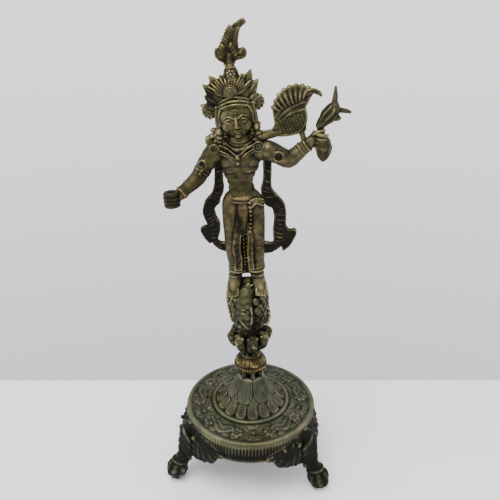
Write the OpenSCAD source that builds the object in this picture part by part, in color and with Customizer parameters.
/* [Stand] */
// Radius of the milled rim of the stand
rim_r = 50.5; // [48:0.5:52]
// Height of the rim above the floor
rim_z = 52; // [47:0.5:56]
// Distance from the stand's axis to the middle of a paw
foot_reach = 64.5; // [62:0.5:68]
// Radius of a paw's rounded toe end
toe_r = 8.7; // [7.5:0.1:9.5]
// Turn of the tripod about the stand's axis, degrees
foot_turn = -5; // [-20:1:20]

/* [Stem] */
// Largest radius of the bell-shaped knop
knop_r = 12.9; // [11.5:0.1:14]
// Height of the knop
knop_h = 12; // [11:0.5:14]
// Radius of the tang that ties the figure to the stand
tang_r = 3; // [2.5:0.1:3.2]
// Running clearance round the tang
tang_gap = 0.08; // [0.04:0.01:0.1]

/* [Figure] */
// Lean of the figure towards its right side, degrees
figure_lean = 2.3; // [0:0.1:4]
// Further tilt of the head, degrees
head_tilt = 6; // [0:0.5:8]
// Thickness of the crown's fan
crown_t = 5; // [4:0.1:6]
// Thickness of the two scarf ends
scarf_t = 3.6; // [3:0.1:4]
// Thickness of the wing behind the shoulder
wing_t = 3.4; // [2.5:0.1:4]
// Radius of the socket through the right fist
socket_r = 1.9; // [1.5:0.1:2.3]

/* [Fastenings] */
// Radius of the rivets that hold the feet
rivet_r = 1.5; // [1.2:0.1:1.8]
// Radius of the pins that hold the arms
pin_r = 1.4; // [1.1:0.1:1.6]
// Width of the clamp nut across its flats
nut_af = 11; // [9:0.5:12]
// Height of the clamp nut
nut_h = 5; // [4:0.5:5.5]

/* [Hidden] */

patina = "#4a4a38";
old_brass = "#6b6238";
worn_brass = "#8a7a42";
steel = "#77766f";

fit = 0.05;                       // radial gap round a riveted or pinned shank
round_fn = 32;                    // facets of a sphere inside a hull
small_fn = 22;                    // and of a small one, on the wand
big = 200;                        // side of a block that cuts a half space away

// Levels of the stand, from the floor
ring_z = rim_z - 14;              // foot of the gallery ring
seam_z = rim_z - 1.6;             // where the dome plate lies on the gallery ring
web_z = rim_z + 17;               // underside of the web inside the dome's neck
neck_z = rim_z + 28;              // top of the dome's neck
knop_z = neck_z + 8;
stem_z = knop_z + knop_h;         // top of the knop, where the figure begins
wall = 2.2;                       // wall of the dome plate

// Radii of the stand
ring_r = rim_r - 3;               // inside of the gallery ring
band_r = 28.8;                    // ring that bounds the lotus cone
neck_r = 9.2;

// Clamp under the web
washer_t = 1.3;
washer_r = 7.5;
washer_gap = 0.3;                 // slack left under the web
tang_z = web_z - 12;              // free end of the tang
tang_top = stem_z + 13;

skull_r = 10.8;
fan_h = 50.5;                     // height of the crown's fan above the throat
brooch_r = 3;

// Levels of the figure, from the top of the knop
mount_z = 25;
sole_z = 54;
hem_z = 72;
waist_z = 129;
throat_z = 162;

// Azimuths of the feet, from the front and towards the figure's left
foot_azimuths = [-60 + foot_turn, 60 + foot_turn, 180 + foot_turn];

// Leaf plate of each foot, which runs round the ring for this many degrees
knee = 72;
plate_z = ring_z - 9;
plate_r = ring_r + 7.5;

// Middle of the statue's bounding box, brought to the origin
wand_reach = 63.5;
reach_right = max(wand_reach, foot_reach * sin(60 + foot_turn) + toe_r);
reach_left = foot_reach * sin(60 - foot_turn) + toe_r;
reach_front = max(foot_reach * cos(60 - abs(foot_turn)) + toe_r, plate_r * cos(60 - knee / 2 - abs(foot_turn)));
reach_back = foot_reach * cos(foot_turn) + toe_r;
stand_at = [(reach_left - reach_right) / 2, (reach_front - reach_back) / 2, 0];

// Arms: shoulder, elbow and wrist of each, in the figure's frame
shoulder_right = [-17.5, 0, 159];
elbow_right = [-29, -3, 142];
wrist_right = [-40.5, -9, 133.2];
fist_at = [-46.4, -12, 131.2];
fist_h = 10.6;
fist_r = 5;
shoulder_left = [17.5, 0, 158.5];
elbow_left = [31, -1, 152.6];
wrist_left = [43, -3, 162.2];
hand_left = [48.4, -3, 165.8];
side_right = -20.6;               // planes where the torso ends and an arm begins
side_left = 17;

// Tenons that reach from the torso into the arms, and the pins that cross them
tenon_r = 3;
tenon_in = 14;                    // their length beyond each shoulder's middle
pin_right = along(shoulder_right, elbow_right, 10) + [0, 0, 1];
pin_left = along(shoulder_left, elbow_left, 8);

// The wand's stalk, through the left hand
stalk_low = [52.9, -6, 158];
stalk_high = [50.8, -4, 175];
stalk_r = 2.6;
bud_at = [53, -6.6, 158.6];

function unit(v) = v / norm(v);
function along(a, b, mm) = a + unit(b - a) * mm;
function arc(c, r, from, to, steps) =
    [for (i = [0:steps]) let (a = from + (to - from) * i / steps) c + r * [cos(a), sin(a)]];

// Outline of the lotus cone, t from its foot at 0 to the neck at 1
function cone_point(t, skin) =
    [band_r - 1.8 - (band_r - 1.8 - neck_r) * t - skin, rim_z + 5 + 23 * pow(t, 1.8) - skin / 2];

module on_stand() {
    translate(stand_at) children();
}

module in_figure() {
    on_stand() translate([0, 0, stem_z]) rotate([0, -figure_lean, 0]) children();
}

// The head's frame has its origin at the throat
module in_head() {
    translate([0, 0, throat_z]) rotate([0, -head_tilt, 0]) children();
}

module at_azimuth(a) {
    rotate([0, 0, a - 90]) children();
}

module rod(a, b, r) {
    v = b - a;
    translate(a) rotate([0, acos(v.z / norm(v)), atan2(v.y, v.x)]) cylinder(h = norm(v), r = r, $fn = 48);
}

// A limb between two rounded ends
module limb(a, ra, b, rb, facets = round_fn) {
    hull() {
        translate(a) sphere(ra, $fn = facets);
        translate(b) sphere(rb, $fn = facets);
    }
}

// An oval disc, for blending trunk sections
module oval(z, half_w, half_d) {
    translate([0, 0, z]) scale([1, half_d / half_w, 1]) cylinder(h = 0.2, r = half_w, $fn = round_fn);
}

// A flat casting that stands upright, its back face at depth y
module upright(y, t, outline) {
    translate([0, y, 0]) rotate([90, 0, 0]) linear_extrude(t) polygon(outline);
}

// ---- Stand ----

module dome_plate() {
    outside = concat(
        [[ring_r - 0.8, seam_z]],
        arc([rim_r - 2.4, rim_z + 0.2], 2.6, -44, 120, 10),
        [[rim_r - 5, rim_z + 2.2], [band_r + 2, rim_z + 4]],
        arc([band_r, rim_z + 4], 1.7, 10, 165, 8),
        [for (i = [0:10]) cone_point(i / 10, 0)],
        [[neck_r, neck_z], [neck_r - wall, neck_z], [neck_r - wall, web_z + 3],
         [tang_r + tang_gap, web_z + 3], [tang_r + tang_gap, web_z], [washer_r + 1.5, web_z]]);
    inside = concat([for (i = [7:-1:0]) cone_point(i / 10, wall)], [[rim_r - 5.5, rim_z - 0.4]]);
    color(patina) rotate_extrude($fn = 96) polygon(concat(outside, inside));
}

module gallery_ring() {
    color(patina) difference() {
        rotate_extrude($fn = 96) polygon([
            [ring_r, ring_z], [ring_r + 4.2, ring_z], [ring_r + 4.2, ring_z + 1.6],
            [ring_r + 2.4, ring_z + 3.2], [ring_r + 2.4, seam_z], [ring_r, seam_z]]);
        rivet_holes();
    }
}

module rivet_places() {
    for (a = foot_azimuths, side = [-14, 14])
        at_azimuth(a + side) translate([0, 0, ring_z + 8]) rotate([0, 90, 0]) children();
}

module rivet_holes() {
    rivet_places() translate([0, 0, ring_r - 3]) cylinder(h = 14, r = rivet_r + fit, $fn = 32);
}

module foot_rivets() {
    color(old_brass) rivet_places() {
        translate([0, 0, ring_r - 1]) cylinder(h = 9, r = rivet_r, $fn = 32);
        translate([0, 0, ring_r - 1.5]) cylinder(h = 1.3, r = rivet_r + 1.1, $fn = 32);
        translate([0, 0, ring_r + 7.6]) cylinder(h = 0.9, r = rivet_r + 1.1, $fn = 32);
    }
}

// A paw foot: curved leaf plate on the ring, a leg below it and the rounded paw
module foot(azimuth) {
    ankle = [ring_r + 8, 0, ring_z - 12];
    color(patina) difference() {
        at_azimuth(azimuth) {
            rotate([0, 0, -knee / 2]) rotate_extrude(angle = knee, $fn = 96) polygon([
                [ring_r + 4.25, plate_z], [ring_r + 5.8, plate_z], [plate_r, ring_z + 5],
                [ring_r + 6, seam_z], [ring_r + 2.5, seam_z], [ring_r + 2.5, ring_z + 3.3],
                [ring_r + 4.25, ring_z + 1.7]]);
            limb([ring_r + 7.5, 0, ring_z - 4], 4.4, ankle, 4.2);
            limb(ankle, 4.2, [foot_reach, 0, toe_r - 0.6], toe_r);
        }
        translate([-big / 2, -big / 2, -big]) cube(big);
        rivet_holes();
    }
}

module leaf_collar() {
    tongues = 6;
    color(patina) difference() {
        rotate_extrude($fn = 64) polygon([
            [neck_r - wall - 0.1, neck_z], [neck_r + 0.2, neck_z], [neck_r + 0.2, knop_z],
            [neck_r - wall - 0.1, knop_z]]);
        for (i = [0:tongues - 1])
            rotate([0, 0, i * 360 / tongues]) translate([0, -2, neck_z + 1.5]) cube([neck_r + 2, 4, 5.3]);
    }
}

module knop() {
    shoulder = knop_h - 9;
    color(worn_brass) rotate_extrude($fn = 96) polygon(concat(
        [[tang_r + tang_gap, knop_z], [knop_r - 3.1, knop_z], [knop_r - 1.2, knop_z + 1]],
        arc([knop_r - 1.4, knop_z + shoulder], 1.4, -60, 60, 6),
        arc([knop_r - 9, knop_z + shoulder + 0.6], 8.2, 12, 60, 6),
        [[7.4, stem_z], [tang_r + tang_gap, stem_z]]));
}

module tang_rod() {
    color(steel) translate([0, 0, tang_z]) cylinder(h = tang_top - tang_z, r = tang_r, $fn = 48);
}

module clamp_washer() {
    color(steel) translate([0, 0, web_z - washer_gap - washer_t]) difference() {
        cylinder(h = washer_t, r = washer_r, $fn = 64);
        translate([0, 0, -1]) cylinder(h = washer_t + 2, r = tang_r + tang_gap, $fn = 48);
    }
}

module clamp_nut() {
    color(steel) translate([0, 0, web_z - washer_gap - washer_t - nut_h]) difference() {
        cylinder(h = nut_h, r = nut_af / sqrt(3), $fn = 6);
        translate([0, 0, -1]) cylinder(h = nut_h + 2, r = tang_r + tang_gap, $fn = 48);
    }
}

// ---- Figure ----

module volute_collar() {
    lobes = 8;
    color(old_brass) difference() {
        in_figure() {
            rotate_extrude($fn = 64) polygon([
                [0, -2], [7.6, -2], [7.6, 4], [9.5, 8], [12.4, 11.5], [13.4, 16], [12.4, 20],
                [10, 22.5], [9.6, mount_z], [0, mount_z]]);
            for (i = [0:lobes - 1])
                rotate([0, 0, (i + 0.5) * 360 / lobes]) translate([13, 0, 17]) sphere(3.4, $fn = 32);
        }
        on_stand() translate([-big / 2, -big / 2, stem_z - big]) cube(big);
        on_stand() translate([0, 0, stem_z - 1]) cylinder(h = tang_top - stem_z + 1.2, r = tang_r + fit, $fn = 48);
    }
}

module beast_mount() {
    color(old_brass) in_figure() {
        intersection() {
            limb([0, -1, 43], 13.2, [0, -2.5, 31], 9.4);
            translate([-big / 2, -big / 2, mount_z]) cube([big, big, sole_z - mount_z]);
        }
        for (s = [-1, 1])
            hull() {
                translate([s * 12.6, 1, 47]) sphere(2.6, $fn = round_fn);
                translate([s * 11.6, 1, 31]) sphere(2.4, $fn = round_fn);
            }
    }
}

// The hips and thighs, as one blended trunk that the scarf ends are cast against
module thighs() {
    translate([-0.3, 0, 0]) {
        hull() {
            oval(hem_z, 12.3, 7.8);
            oval(80, 13.2, 8.4);
            oval(118, 14.2, 8.8);
            oval(125, 14.9, 8.8);
        }
        hull() {
            oval(125, 14.9, 8.8);
            oval(waist_z - 0.2, 9.8, 7.4);
        }
    }
}

module lower_body() {
    foot_places = [[-10.2, 5], [8.4, 5.4]];
    color(old_brass) in_figure() difference() {
        union() {
            thighs();
            for (p = foot_places) {
                translate([p.x * 0.85, 0, hem_z - 8]) cylinder(h = 9, r = p.y, $fn = 48);
                limb([p.x * 0.9, -0.5, 62], 4.6, [p.x, -8, 57.5], 4.2);
            }
        }
        translate([-big / 2, -big / 2, sole_z - big]) cube(big);
    }
}

// Chest, shoulders and neck between the planes where the arms begin
module chest() {
    intersection() {
        union() {
            hull() {
                translate([-0.3, 0, 0]) oval(waist_z, 9.8, 7.4);
                translate([-1.4, 0, 0]) oval(138, 9.2, 7.2);
            }
            hull() {
                translate([-1.4, 0, 0]) oval(138, 9.2, 7.2);
                translate([-1.5, 0, 0]) oval(148, 14.6, 8.4);
                translate([-15.5, 0, 159.6]) sphere(7.2, $fn = round_fn);
                translate([13, 0, 159]) sphere(7.6, $fn = round_fn);
            }
            translate([0, 0, 158]) cylinder(h = throat_z + 6 - 158, r = 5.6, $fn = 48);
        }
        translate([side_right, -big / 2, 0]) cube([side_left - side_right, big, big]);
    }
}

module torso() {
    color(old_brass) in_figure() difference() {
        union() {
            chest();
            tenon(shoulder_right, elbow_right, 0);
            tenon(shoulder_left, elbow_left, 0);
        }
        pin_holes();
        brooch_places() {
            cylinder(h = 7.2, r = 1 + fit, $fn = 24);
            translate([0, 0, -9]) cylinder(h = 9, r = brooch_r + fit, $fn = 48);
        }
        wing_spigot(fit);
    }
}

module tenon(shoulder, elbow, gap) {
    rod(along(shoulder, elbow, -3), along(shoulder, elbow, tenon_in + gap * 4), tenon_r + gap);
}

module pin_holes() {
    for (p = [pin_right, pin_left])
        translate([p.x, p.y - 15, p.z]) rotate([-90, 0, 0]) cylinder(h = 30, r = pin_r + fit, $fn = 32);
}

module arm_pins() {
    color(old_brass) in_figure() for (p = [pin_right, pin_left])
        translate([p.x, p.y - 7, p.z]) rotate([-90, 0, 0]) {
            cylinder(h = 13.4, r = pin_r, $fn = 32);
            translate([0, 0, -1]) cylinder(h = 1.2, r = pin_r + 0.9, $fn = 32);
        }
}

// Each brooch has its shank along Y, its disc in a seat in front
module brooch_places() {
    for (p = [[-17.2, -5.4, 162.6], [11.4, -5.8, 162.8]])
        translate(p) rotate([-90, 0, 0]) children();
}

module shoulder_brooches() {
    color(worn_brass) in_figure() brooch_places() {
        translate([0, 0, -1.8]) cylinder(h = 1.8, r = brooch_r, $fn = 48);
        cylinder(h = 7, r = 1, $fn = 24);
    }
}

module head() {
    color(old_brass) in_figure() in_head() difference() {
        union() {
            translate([0, 0, 20]) sphere(skull_r, $fn = 64);
            translate([0, -3.4, 14.2]) sphere(7, $fn = 48);
            translate([0, 0, 0]) cylinder(h = 14, r = 5.4, $fn = 48);
        }
        rotate([0, head_tilt, 0]) translate([-big / 2, -big / 2, 6 - big]) cube(big);
    }
}

// Outline of the leaf fan, seen from the front
function fan_outline() = [
    [-11, 20], [-12, 28], [-17.4, 31.6], [-17.2, 42.2], [-13.4, 41.4], [-12.2, 46.6], [-6.7, 43],
    [-4.1, 46.6], [-2.4, fan_h], [4.3, fan_h], [5, 43.2], [7.4, 45.2], [13.4, 47.2], [13, 41.2],
    [17.2, 40.7], [13.2, 33.8], [12, 28], [11, 20]];

module crown() {
    color(old_brass) in_figure() in_head() difference() {
        union() {
            upright(1 + crown_t, crown_t, fan_outline());
            translate([0, 0, 25]) cylinder(h = 6.6, r = 11.8, $fn = 64);
        }
        translate([0, 0, 20]) sphere(skull_r, $fn = 64);
        plume_spigot(fit);
    }
}

module plume_spigot(gap) {
    translate([1, 1 + crown_t / 2, fan_h - 6 - gap]) cylinder(h = 7 + gap, r = 1.5 + gap, $fn = 24);
}

module crown_plume() {
    leaf = [[-2.2, fan_h], [4.1, fan_h], [4.6, 53.4], [8.8, 53.1], [11.3, 56], [12.6, 59.2],
        [9, 62.2], [10.8, 70.2], [13.2, 71.8], [14.1, 75.2], [10.2, 77.8], [6.8, 77.4],
        [3.2, 74.6], [-1.2, 69.8], [-2.3, 63], [-6.3, 62.2], [-8, 59], [-5.8, 55.8], [-2.6, 54.4]];
    color(old_brass) in_figure() in_head() {
        upright(0.5 + crown_t, 4, leaf);
        plume_spigot(0);
    }
}

module ear_rosettes() {
    color(old_brass) in_figure() in_head() difference() {
        for (p = [[-16.6, 24.6], [14, 26.6]])
            translate([p.x, 4, p.y]) rotate([90, 0, 0]) cylinder(h = 5, r = 4.9, $fn = 48);
        translate([0, 0, 20]) sphere(skull_r, $fn = 64);
        translate([0, 0, 25]) cylinder(h = 6.6, r = 11.8, $fn = 64);
        upright(1 + crown_t, crown_t, fan_outline());
    }
}

module arm_right() {
    color(old_brass) in_figure() difference() {
        union() {
            limb(shoulder_right, 7, elbow_right, 5.4);
            limb(elbow_right, 5.4, wrist_right, 4.2);
        }
        translate([side_right, -big / 2, 0]) cube(big);
        tenon(shoulder_right, elbow_right, fit);
        pin_holes();
        translate([fist_at.x, fist_at.y, fist_at.z - 10]) cylinder(h = 20, r = fist_r, $fn = 48);
    }
}

module fist_right() {
    color(old_brass) in_figure() translate([fist_at.x, fist_at.y, fist_at.z - fist_h / 2]) difference() {
        cylinder(h = fist_h, r = fist_r, $fn = 48);
        translate([0, 0, -1]) cylinder(h = fist_h + 2, r = socket_r, $fn = 48);
    }
}

module arm_left() {
    color(old_brass) in_figure() difference() {
        union() {
            limb(shoulder_left, 7.4, elbow_left, 5.7);
            limb(elbow_left, 5.7, wrist_left, 4.1);
            translate(hand_left) sphere(5, $fn = 48);
        }
        translate([side_left - big, -big / 2, 0]) cube([big, big, big]);
        tenon(shoulder_left, elbow_left, fit);
        pin_holes();
        rod(stalk_low, stalk_high, stalk_r);
        translate(bud_at) sphere(4.3, $fn = 48);
    }
}

module flower_wand() {
    color(old_brass) in_figure() {
        rod(stalk_low, stalk_high, stalk_r);
        translate(bud_at) sphere(4.3, $fn = 48);
        limb([52.6, -5.8, 153], 1.1, [53, -6.4, 157], 3.4, small_fn);
        limb([50.8, -4, 175], 2.8, [58.4, -4, 182.8], 4.4, small_fn);
        limb([59.2, -4, 185], 2.5, [60.3, -4, 198.2], 0.8, small_fn);
        limb([60.4, -4, 183.4], 2.4, [69.9, -4, 182], 1, small_fn);
        limb([58.6, -4, 179.6], 2.4, [62.6, -4, 178.2], 1.6, small_fn);
    }
}

module wing_spigot(gap) {
    translate([14, 1.6, 156 - gap]) cylinder(h = 12 + gap, r = 1.5 + gap, $fn = 24);
}

module shoulder_wing() {
    fan = [[11, 166.8], [11, 170], [20.8, 171], [22.6, 175], [21.1, 185.3], [24.4, 191.6],
        [26, 196.8], [32.8, 199.4], [39.8, 199.5], [45.1, 198], [52.6, 191.5], [46, 190.9],
        [42.5, 184.9], [43.4, 176.8], [42.6, 169.6], [37, 167.6], [24, 166.6]];
    color(old_brass) in_figure() {
        upright(3.3, wing_t, fan);
        wing_spigot(0);
    }
}

// The scarf ends hang beside the hips, from the armpits to the garment
module scarf(outline) {
    color(old_brass) in_figure() difference() {
        upright(2.6, scarf_t, outline);
        thighs();
        chest();
    }
}

module scarf_right() {
    scarf([[-17.4, 150], [-18.4, 137], [-20.6, 129.6], [-25.4, 125], [-27.8, 119], [-27.8, 114],
        [-25.5, 106.2], [-30.7, 104], [-29.5, 100.4], [-24.8, 93.2], [-19.9, 88], [-12, 85.6],
        [-12, 92.4], [-17.2, 92.6], [-19.6, 95], [-17.5, 102.5], [-17.2, 107.5], [-20, 114],
        [-20.4, 119], [-18.6, 121.8], [-12, 123], [-12, 127.4], [-13, 132.6], [-13.4, 150]]);
}

module scarf_left() {
    scarf([[20, 150.5], [19, 134.6], [20.2, 129.8], [25.4, 123.4], [28, 119.2], [28.7, 113],
        [28.2, 103.2], [30.7, 100.2], [35.4, 100.8], [35.2, 97.6], [31.2, 89.2], [25.3, 84.4],
        [12, 83.4], [12, 92.4], [17.8, 90.4], [20.2, 91.4], [20.2, 102.2], [21.2, 112.2],
        [20.2, 117.1], [17.9, 119], [12, 119], [11, 128.4], [14.5, 138.8], [14.6, 150.5]]);
}

on_stand() dome_plate();
on_stand() gallery_ring();
on_stand() foot(foot_azimuths[0]);  // foot_left
on_stand() foot(foot_azimuths[1]);  // foot_right
on_stand() foot(foot_azimuths[2]);  // foot_back
on_stand() foot_rivets();
on_stand() leaf_collar();
on_stand() knop();
on_stand() tang_rod();
on_stand() clamp_washer();
on_stand() clamp_nut();
volute_collar();
beast_mount();
lower_body();
torso();
head();
crown();
crown_plume();
ear_rosettes();
arm_right();
fist_right();
arm_left();
arm_pins();
shoulder_brooches();
flower_wand();
shoulder_wing();
scarf_right();
scarf_left();
